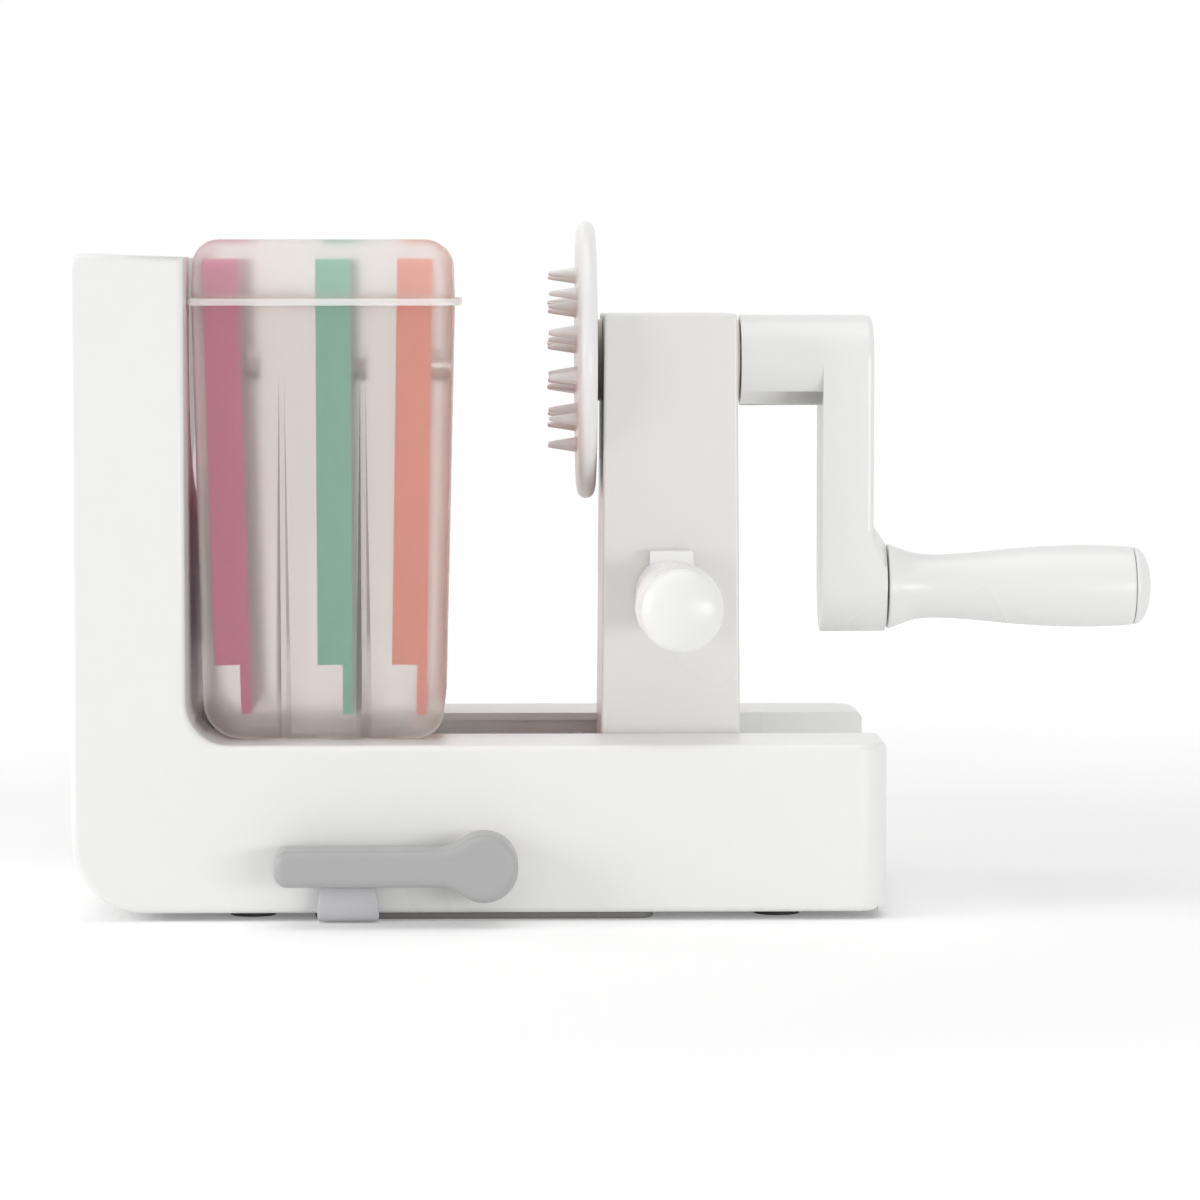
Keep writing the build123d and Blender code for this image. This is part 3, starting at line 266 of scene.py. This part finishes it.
# %% Lever, bushes and cassettes
satin_white = moulded_plastic("abs_satin_white", "#ECECEB", 0.42, grain=0.06, IOR=1.53)
grey_polypropylene = moulded_plastic("polypropylene_satin_grey", "#B1B1B1", 0.42,
                                     grain=0.08, IOR=1.49)
acetal = moulded_plastic("acetal_bush_pale", "#E0DAD0", 0.45, grain=0.05, IOR=1.48)
magenta_abs = moulded_plastic("abs_satin_magenta", "#C43A7A", 0.4, grain=0.05, IOR=1.53)
green_abs = moulded_plastic("abs_satin_green", "#4FAE92", 0.4, grain=0.05, IOR=1.53)
orange_abs = moulded_plastic("abs_satin_orange", "#DE7860", 0.4, grain=0.05, IOR=1.53)
print("cassettes:", magenta_abs.name, green_abs.name, orange_abs.name)

# %% [markdown]
# ## Frosted polypropylene
# The blade box is a thin wall of natural polypropylene, milky because the
# plastic is partly crystalline. Light goes through it and is scattered a
# little, so what touches the wall is nearly sharp and what lies deeper melts
# away. Rough transmission gives just that. It goes on the outer skin only: a
# ray that had to scatter at both faces of every wall would come out grey, so
# the inner skin is almost clear and adds no more than a faint milkiness.

# %% Frosted box
wall_ior = 1.07                 # low, so that a wall hardly shifts what is behind it
ripple_mm = 9


def frosted_wall(name, colour, **values):
    """A milky wall whose moulded surface ripples a little."""
    made, tree, shader = new_material(name, IOR=wall_ior, **values)
    shader.inputs["Base Color"].default_value = linear(colour)
    place = add_node(tree, "ShaderNodeTexCoord")
    flow = add_node(tree, "ShaderNodeTexNoise", {"Scale": 1000 / ripple_mm, "Detail": 2.0},
                    {"Vector": place.outputs["Object"]})
    ripple = add_node(tree, "ShaderNodeBump", {"Strength": 0.02, "Distance": 0.0005},
                      {"Height": flow.outputs[0]})
    tree.links.new(ripple.outputs[0], shader.inputs["Normal"])
    return made


# The box and the lid are one plastic. The lid's whiter, less clear wall is painted light and the
# box's greyer wall is painted shade, so that the box is lighter at the top than at the bottom.
frosted_box_shaded = frosted_wall("polypropylene_frosted_box_painted_shade", "#EAE2DD", Roughness=0.52,
                       Transmission_Weight=0.8)
frosted_lid_lit = frosted_wall("polypropylene_frosted_lid_painted_light", "#F8F4F0", Roughness=0.5,
                           Transmission_Weight=0.72)
# painted highlight: the seam's lips get a whiter, less clear wall so that they show as bright
# lines; their lower roughness is a smoother finish
seam_lip_highlight = frosted_wall("polypropylene_lip_painted_highlight", "#FFFDFB", Roughness=0.2,
                         Transmission_Weight=0.25)
inner_skin, tree, shader = new_material("polypropylene_inner_skin", Roughness=0.5,
                                        IOR=wall_ior, Alpha=0.05)
shader.inputs["Base Color"].default_value = linear("#FAF8F6")
skin_grain_mm = 3
place = add_node(tree, "ShaderNodeTexCoord")
grain = add_node(tree, "ShaderNodeTexNoise", {"Scale": 1000 / skin_grain_mm},
                 {"Vector": place.outputs["Object"]})
fine = add_node(tree, "ShaderNodeBump", {"Strength": 0.05, "Distance": 0.0002},
                {"Height": grain.outputs[0]})
tree.links.new(fine.outputs[0], shader.inputs["Normal"])
print("box walls:", frosted_box_shaded.name, frosted_lid_lit.name, seam_lip_highlight.name, inner_skin.name)

# %% [markdown]
# ## Rubber and steel
# The pull tab is a soft, pale grey rubber; the feet are a dark one. The pad's
# sheet is moulded with the tab, but its edge gets a darker grey: painted shade,
# for the shade under the base that darkens it. Whether that is shade or another
# rubber can't be told, and it gets a darker grey. Blades, teeth and rings are
# cold-rolled stainless steel, whose fine rolling lines run along the strip, and
# the shaft and the grip's pin are the same metal, turned.

# %% Rubber and steel
pad_rubber = moulded_plastic("thermoplastic_rubber_pale_grey", "#D2D1D4", 0.38, grain=0.1, IOR=1.5)
# painted shade: the tab's rubber in a darker grey, for the shade under the base
sheet_rubber_painted_shade = moulded_plastic("thermoplastic_rubber_painted_shade", "#8E8C8B", 0.5, grain=0.1, IOR=1.5)
foot_rubber = moulded_plastic("moulded_rubber_dark", "#3C3C3C", 0.6, grain=0.25, IOR=1.5)
lines_across, lines_along = 2500.0, 60.0        # per metre, over and along the lines


def rolled_steel(name, lines_axis):
    """Stainless steel with fine lines along one axis."""
    made, tree, shader = new_material(name, Metallic=1.0, Roughness=0.3)
    shader.inputs["Base Color"].default_value = linear("#C9C8C6")
    place = add_node(tree, "ShaderNodeTexCoord")
    stretch = [lines_across, lines_across, lines_across]
    stretch[lines_axis] = lines_along
    mapped = add_node(tree, "ShaderNodeMapping", {"Scale": stretch},
                      {"Vector": place.outputs["Object"]})
    lines = add_node(tree, "ShaderNodeTexNoise", {"Scale": 1.0, "Detail": 2.0},
                     {"Vector": mapped.outputs[0]})
    bump = add_node(tree, "ShaderNodeBump", {"Strength": 0.12, "Distance": 0.0001},
                    {"Height": lines.outputs[0]})
    spread = add_node(tree, "ShaderNodeMapRange", {"To Min": 0.16, "To Max": 0.38},
                      {"Value": lines.outputs[0]})
    tree.links.new(bump.outputs[0], shader.inputs["Normal"])
    tree.links.new(spread.outputs[0], shader.inputs["Roughness"])
    return made


strip_steel = rolled_steel("stainless_steel_strip", 1)
turned_steel = rolled_steel("stainless_steel_turned", 0)
print("steel:", strip_steel.name, "and", turned_steel.name)

# %% [markdown]
# ## Which piece is made of what
# The frame says which body each CAD node belongs to and which slot its
# material fills. What isn't in the table below is steel: blades, teeth, rings,
# screws, springs and clips.

# %% Give every CAD piece its material
finishes = {
    "base_housing": white_abs, "base_plate": satin_white, "carriage_column": column_abs_painted_shade,
    "carriage_foot": satin_white, "food_holder": white_abs, "crank_arm": white_abs,
    "crank_grip": white_abs, "crank_grip_cap": white_abs, "side_handle": white_abs,
    "side_handle_cap": white_abs, "release_button": white_abs, "suction_plunger": satin_white,
    "suction_lever": grey_polypropylene, "cam_shaft": acetal, "lever_bush": acetal,
    "food_side_bush": acetal, "crank_side_bush": acetal, "suction_pad": pad_rubber,
    "rubber_feet": foot_rubber, "blade_box": frosted_box_shaded, "box_lid": frosted_lid_lit,
    "ribbon_cassette_frame": magenta_abs, "fine_cassette_frame": green_abs,
    "coarse_cassette_frame": orange_abs, "crank_shaft": turned_steel, "grip_pin": turned_steel,
}
body_of = {node: body for body, members in frame["record"]["behaviour"]["bodies"].items()
           for node in members}
for name, piece in nodes.items():
    piece.data.materials.clear()
    piece.data.materials.append(finishes.get(name, strip_steel))
print(len(nodes) - len(finishes), "pieces of steel strip and wire")

# %% [markdown]
# ## Round surfaces that look round
# A solid arrives as loose flat triangles, so a fillet shows its facets. A
# copy whose corners are welded can be shaded smoothly across every edge that
# bends by less than thirty degrees, and stays crisp at the others. Normals
# weighted by area then keep the broad flat faces flat right up to their
# rounded edges. The shape itself doesn't change: only the way the light is
# spread over it does.

# %% Weld and smooth the moulded pieces
weld_m = 0.000004               # corners nearer than this are one corner
flat_degrees, smooth_degrees = 0.2, 30


def modify(piece, kind, name, **settings):
    """Adds a modifier, sets it and applies it."""
    step = piece.modifiers.new(name, kind)
    for key, value in settings.items():
        setattr(step, key, value)
    bpy.ops.object.modifier_apply(modifier=step.name)


def stand_for(piece, node, finish=None):
    """Gives a piece the finish and the body of the CAD node it shows, and hides the node."""
    piece.data.materials.clear()
    piece.data.materials.append(finish or finishes[node])
    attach(piece, body_of[node])
    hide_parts(node)


def dressed(name):
    """A welded, smoothly shaded copy that stands for a CAD piece."""
    copy = nodes[name].copy()
    copy.data = nodes[name].data.copy()
    copy.name = name + "_moulding"
    for key in list(copy.keys()):
        del copy[key]
    copy.parent = None
    bpy.context.scene.collection.objects.link(copy)
    bpy.ops.object.select_all(action="DESELECT")
    bpy.context.view_layer.objects.active = copy
    copy.select_set(True)
    bpy.ops.object.mode_set(mode="EDIT")
    bpy.ops.mesh.select_all(action="SELECT")
    bpy.ops.mesh.remove_doubles(threshold=weld_m)
    bpy.ops.mesh.dissolve_limited(angle_limit=math.radians(flat_degrees))
    bpy.ops.object.mode_set(mode="OBJECT")
    bpy.ops.object.shade_smooth_by_angle(angle=math.radians(smooth_degrees))
    modify(copy, "WEIGHTED_NORMAL", "flat_faces_stay_flat", keep_sharp=True)
    stand_for(copy, name)
    return copy


moulded = {}
for name in ("base_housing", "carriage_column", "crank_arm", "suction_lever", "release_button",
             "blade_box", "box_lid", "lever_bush", "food_side_bush", "crank_side_bush",
             "crank_shaft", "rubber_feet", "ribbon_cassette_frame", "fine_cassette_frame",
             "coarse_cassette_frame", "cam_shaft", "base_plate"):
    moulded[name] = dressed(name)
    print(name, len(moulded[name].data.polygons), "faces")

# %% [markdown]
# ## Inner skin of the box
# Which faces look into the box is found face by face: the normal points to
# the middle of the box, and a ray along it meets no wall within 8 mm, as it
# would inside one of the narrow pinch grooves. The seam is at the height of
# the hinge's pin, so the frame gives it. The two lips at the seam are fine
# bright lines. They get a smoother finish, which is a guess at the cause, and
# a whiter, less clear wall, which is a painted highlight.

# %% Inner skin of the box
box_low, box_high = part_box("blade_box")
box_middle = Vector(((box_low.x + box_high.x) / 2, 0, (box_low.z + box_high.z) / 2))
pin_low, pin_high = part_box("lid_hinge_pin")
seam_z = (pin_low.z + pin_high.z) / 2
seam_half = 0.0012              # the lips reach this far from the seam
groove_width = 0.008
off_face = 0.0003               # a ray starts this far off its own face
skin_index, lip_highlight_index = 1, 2
bpy.context.view_layer.update()
for name in ("blade_box", "box_lid"):
    piece = moulded[name]
    piece.data.materials.append(inner_skin)
    piece.data.materials.append(seam_lip_highlight)
    for face in piece.data.polygons:
        looks_in = (box_middle - face.center).dot(face.normal) > 0
        start = face.center + face.normal * off_face
        met, place_met, _, _ = piece.ray_cast(start, face.normal)
        if looks_in and not (met and (place_met - start).length < groove_width):
            face.material_index = skin_index
        # faces on the seam's outer lips take the painted highlight
        if abs(face.center.z - seam_z) < seam_half and not looks_in and not met:
            face.material_index = lip_highlight_index
    marks = [face.material_index for face in piece.data.polygons]
    print(name, marks.count(skin_index), "faces look inwards,",
          marks.count(lip_highlight_index), "are on the lip")

# %% [markdown]
# ## Turned pieces
# Both grips and the food disc are round about an axis. Each starts as a
# circle that is extruded from station to station along the axis and resized
# at each, as a turner would go along the work with a gauge. One level of
# subdivision then rounds the profile, so that a few radii give a softer line
# than straight cones would.

# %% A helper for turned pieces
def turned(name, node, stations, start, along, sides=48):
    """Extrudes a circle through (distance, radius) stations in mm, then turns it to its place."""
    bpy.ops.object.select_all(action="DESELECT")
    distance, radius = stations[0]
    bpy.ops.mesh.primitive_circle_add(vertices=sides, radius=radius / 1000,
                                      location=(0, 0, distance / 1000))
    piece = bpy.context.object
    piece.name = name
    bpy.ops.object.transform_apply(location=True, rotation=True, scale=True)
    bpy.ops.object.mode_set(mode="EDIT")
    bpy.ops.mesh.select_all(action="SELECT")
    bpy.ops.mesh.extrude_region_move(TRANSFORM_OT_translate={"value": (0, 0, 0)})
    bpy.ops.mesh.merge(type="CENTER")
    bpy.ops.object.mode_set(mode="OBJECT")
    rim = [v.index for v in piece.data.vertices if v.co.xy.length > radius / 2000]
    bpy.ops.object.mode_set(mode="EDIT")
    bpy.ops.mesh.select_all(action="DESELECT")
    bpy.ops.object.mode_set(mode="OBJECT")
    for index in rim:
        piece.data.vertices[index].select = True
    for edge in piece.data.edges:
        edge.select = all(piece.data.vertices[i].select for i in edge.vertices)
    bpy.ops.object.mode_set(mode="EDIT")
    for next_distance, next_radius in stations[1:]:
        bpy.ops.mesh.extrude_region_move(
            TRANSFORM_OT_translate={"value": (0, 0, (next_distance - distance) / 1000)})
        ratio = next_radius / radius
        bpy.ops.transform.resize(value=(ratio, ratio, 1))
        distance, radius = next_distance, next_radius
    bpy.ops.mesh.extrude_region_move(TRANSFORM_OT_translate={"value": (0, 0, 0)})
    bpy.ops.mesh.merge(type="CENTER")
    bpy.ops.mesh.select_all(action="SELECT")
    bpy.ops.mesh.normals_make_consistent(inside=False)
    bpy.ops.object.mode_set(mode="OBJECT")
    modify(piece, "SUBSURF", "soft_profile", levels=1, render_levels=1)
    piece.rotation_euler = Vector(along).to_track_quat("Z", "Y").to_euler()
    piece.location = start
    bpy.ops.object.transform_apply(location=True, rotation=True, scale=True)
    bpy.ops.object.shade_smooth_by_angle(angle=math.radians(40))
    stand_for(piece, node)
    print(name, len(piece.data.polygons), "faces")


# %% [markdown]
# ## The two grips
# The crank's grip and the side handle are one form: a waist for the first
# finger, a swell for the palm, and a separate domed cap pressed into the end,
# whose seam shows as a fine line. The crank's grip is bored through and spins
# on its steel pin; the side handle flares less at its root.

# %% Grips and their caps
grip_low, grip_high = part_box("crank_grip")
grip_axis = Vector((grip_low.x, 0, (grip_low.z + grip_high.z) / 2))
bore = [(75.6, 3.0), (75.6, 8.2), (72.6, 8.2), (72.6, 4.15), (0.4, 4.15), (0.0, 4.6)]
crank_root = [(0.0, 12.9), (0.15, 13.4), (0.9, 13.45), (2.6, 12.7), (4.7, 11.9)]
side_root = [(0.15, 11.15), (1.2, 11.15), (3.0, 10.95), (4.7, 10.75)]
palm = [(7.9, 10.7), (11.0, 10.25), (15.6, 9.95), (23.7, 10.4), (30.0, 10.95), (36.3, 11.65),
        (42.6, 12.2), (49.0, 12.65), (55.3, 12.9), (61.6, 13.0), (67.9, 12.95), (74.2, 12.7),
        (77.3, 12.45), (77.9, 12.35), (78.15, 12.1), (78.2, 11.6)]
mouth = [(78.25, 9.0), (77.0, 8.6)]
cap_line = [(78.2, 11.0), (78.4, 11.6), (78.45, 12.05), (78.7, 12.3), (79.3, 12.2),
            (80.1, 11.85), (81.2, 10.95), (82.2, 9.5), (83.1, 7.2), (83.7, 4.2), (83.95, 1.4)]
turned("crank_grip_palm", "crank_grip", bore + crank_root + palm + mouth, grip_axis, (1, 0, 0))
turned("crank_grip_dome", "crank_grip_cap", cap_line, grip_axis, (1, 0, 0))

handle_length = 0.084
handle_low, handle_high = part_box("side_handle_cap")
handle_axis = Vector(((handle_low.x + handle_high.x) / 2, handle_low.y + handle_length,
                      (handle_low.z + handle_high.z) / 2))
turned("side_handle_palm", "side_handle", side_root + palm + mouth, handle_axis, (0, -1, 0))
turned("side_handle_dome", "side_handle_cap", cap_line, handle_axis, (0, -1, 0))

# %% [markdown]
# ## Food holder
# A white disc about 87 mm across with a full, rounded rim. It is round about
# the crank's axis, so the helper for turned pieces makes it too, with twice
# the sides because it is so much wider.

# %% Disc
disc_low, disc_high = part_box("food_holder")
disc_axis = Vector((disc_high.x, 0, (disc_low.z + disc_high.z) / 2))
disc_line = [(0.0, 10.0), (0.0, 38.5), (0.0, 40.6), (0.7, 42.7), (2.2, 43.65),
             (3.8, 43.65), (5.2, 42.8), (6.0, 40.8), (6.0, 38.8), (6.0, 10.0)]
turned("food_disc", "food_holder", disc_line, disc_axis, (-1, 0, 0), sides=96)

# %% [markdown]
# ## Prongs
# The prongs are moulded with the disc. One is modelled, with a small fillet at
# its root and a blunt tip so that it comes out of the mould. The root starts
# a little inside the disc, which leaves no slit between the two.

# %% One prong
disc_thickness = 0.006
root_radius, root_depth = 0.0027, 0.0002
disc_front = disc_high.x - disc_thickness
bpy.ops.object.select_all(action="DESELECT")
bpy.ops.mesh.primitive_circle_add(vertices=20, radius=root_radius, location=(root_depth, 0, 0),
                                  rotation=(0, -math.pi / 2, 0))
prong = bpy.context.object
prong.name = "holder_prong"
bpy.ops.object.transform_apply(location=True, rotation=True, scale=True)
bpy.ops.object.mode_set(mode="EDIT")
bpy.ops.mesh.select_all(action="SELECT")
for step, scale in ((0.0003, 0.82), (0.0005, 0.88), (0.0070, 0.44), (0.0008, 0.80),
                    (0.0004, 0.70)):
    bpy.ops.mesh.extrude_region_move(TRANSFORM_OT_translate={"value": (-step, 0, 0)})
    bpy.ops.transform.resize(value=(1, scale, scale))
bpy.ops.mesh.edge_face_add()
bpy.ops.mesh.select_all(action="SELECT")
bpy.ops.mesh.normals_make_consistent(inside=False)
bpy.ops.object.mode_set(mode="OBJECT")
bpy.ops.object.shade_smooth_by_angle(angle=math.radians(50))
print("a prong is", round(prong.dimensions.x * 1000, 1), "mm long")

# %% [markdown]
# ## Rings of prongs
# The photograph shows tips at many heights, in side view only, so how they are
# laid out is a guess: three rings, turned a little from the upright so that no
# two tips of a ring are at one height. Each copy has its own mesh, and all of
# them are joined, as they are one moulding.

# %% All the prongs
rings = ((0.0276, 12), (0.0176, 8), (0.0076, 4))     # radius and number of prongs
ring_start = 0.35                                   # as a share of the step between two
places = [(ring_radius, (i + ring_start) / count)
          for ring_radius, count in rings for i in range(count)]
copies = [prong]
for _ in places[1:]:
    copy = prong.copy()
    copy.data = prong.data.copy()
    bpy.context.scene.collection.objects.link(copy)
    copies.append(copy)
for copy, (ring_radius, part_turn) in zip(copies, places):
    turn_round = 2 * math.pi * part_turn
    copy.location = (disc_front, ring_radius * math.cos(turn_round),
                     disc_axis.z + ring_radius * math.sin(turn_round))
    copy.select_set(True)
bpy.context.view_layer.objects.active = prong
bpy.ops.object.transform_apply(location=True, rotation=True, scale=True)
bpy.ops.object.join()
stand_for(prong, "food_holder")
print(len(places), "prongs,", len(prong.data.polygons), "faces")

# %% [markdown]
# ## Suction pad
# Under the base lies a thin rubber sheet with round corners and a soft edge.
# Only its four upright edges are bevelled into corners. They are picked in
# edge mode: in vertex mode their ends would bring all twelve edges along, and
# the bevel would swell the sheet.

# %% Pad
pad_low, pad_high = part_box("suction_pad")
pad_thickness, pad_corner = 0.0022, 0.005
bpy.ops.object.select_all(action="DESELECT")
bpy.ops.mesh.primitive_cube_add(size=1, location=(0, 0, pad_thickness / 2),
                                scale=(pad_high.x - pad_low.x, 2 * pad_high.y, pad_thickness))
pad = bpy.context.object
pad.name = "suction_pad_sheet"
bpy.ops.object.transform_apply(location=True, rotation=True, scale=True)
bpy.ops.object.mode_set(mode="EDIT")
bpy.ops.mesh.select_mode(type="EDGE")
bpy.ops.mesh.select_all(action="DESELECT")
bpy.ops.object.mode_set(mode="OBJECT")
for edge in pad.data.edges:
    ends = [pad.data.vertices[i].co for i in edge.vertices]
    edge.select = abs(ends[0].z - ends[1].z) > pad_thickness / 2
bpy.ops.object.mode_set(mode="EDIT")
bpy.ops.mesh.bevel(offset=pad_corner, segments=8, affect="EDGES")
bpy.ops.mesh.select_mode(type="VERT")
bpy.ops.object.mode_set(mode="OBJECT")
modify(pad, "BEVEL", "soft_edge", width=0.0006, segments=3, angle_limit=math.radians(50))
bpy.ops.object.shade_smooth_by_angle(angle=math.radians(40))
# The sheet takes the darker grey that is painted shade.
stand_for(pad, "suction_pad", sheet_rubber_painted_shade)
print("pad", [round(v * 1000, 1) for v in pad.dimensions], "mm")

# %% [markdown]
# ## Pull tab
# A tongue of rubber runs out under the front of the housing and curls up where
# a finger can lift it to let the air in. It starts as a strip that is extruded
# step by step along its curl, and gets its thickness at the end.

# %% Pull tab
tab_middle, tab_width = -0.041, 0.0179
root_y, root_length, root_z = -0.0675, 0.007, 0.0012
rubber_wall = 0.0017
bpy.ops.object.select_all(action="DESELECT")
bpy.ops.mesh.primitive_grid_add(x_subdivisions=8, y_subdivisions=1, size=1,
                                location=(tab_middle, root_y, root_z))
bpy.ops.transform.resize(value=(tab_width, root_length, 1))
tab = bpy.context.object
tab.name = "pull_tab"
bpy.ops.object.transform_apply(location=True, rotation=True, scale=True)
lip = min(v.co.y for v in tab.data.vertices)
bpy.ops.object.mode_set(mode="EDIT")
bpy.ops.mesh.select_all(action="DESELECT")
bpy.ops.object.mode_set(mode="OBJECT")
for vertex in tab.data.vertices:
    vertex.select = abs(vertex.co.y - lip) < 0.0001
for edge in tab.data.edges:
    edge.select = all(tab.data.vertices[i].select for i in edge.vertices)
curl = ((-0.0018, 0.0001, 1.02), (-0.0014, 0.0006, 1.02), (-0.0008, 0.0012, 1.0),
        (-0.0003, 0.0017, 0.99), (-0.0001, 0.0019, 0.975), (0.0002, 0.0019, 0.97),
        (0.0004, 0.0017, 0.97), (0.0004, 0.0008, 0.96))
bpy.ops.object.mode_set(mode="EDIT")
for step_y, step_z, narrower in curl:
    bpy.ops.mesh.extrude_region_move(TRANSFORM_OT_translate={"value": (0, step_y, step_z)})
    bpy.ops.transform.resize(value=(narrower, 1, 1))
bpy.ops.object.mode_set(mode="OBJECT")
modify(tab, "SOLIDIFY", "rubber_wall", thickness=rubber_wall, offset=0.0)
modify(tab, "BEVEL", "soft_edge", width=0.0005, segments=2, angle_limit=math.radians(50))
modify(tab, "SUBSURF", "soft_curl", levels=1, render_levels=1)
bpy.ops.object.mode_set(mode="EDIT")
bpy.ops.mesh.select_all(action="SELECT")
bpy.ops.mesh.normals_make_consistent(inside=False)
bpy.ops.object.mode_set(mode="OBJECT")
bpy.ops.object.shade_smooth()
stand_for(tab, "suction_pad")
print("tab reaches", [round(v * 1000, 1) for v in tab.dimensions], "mm")
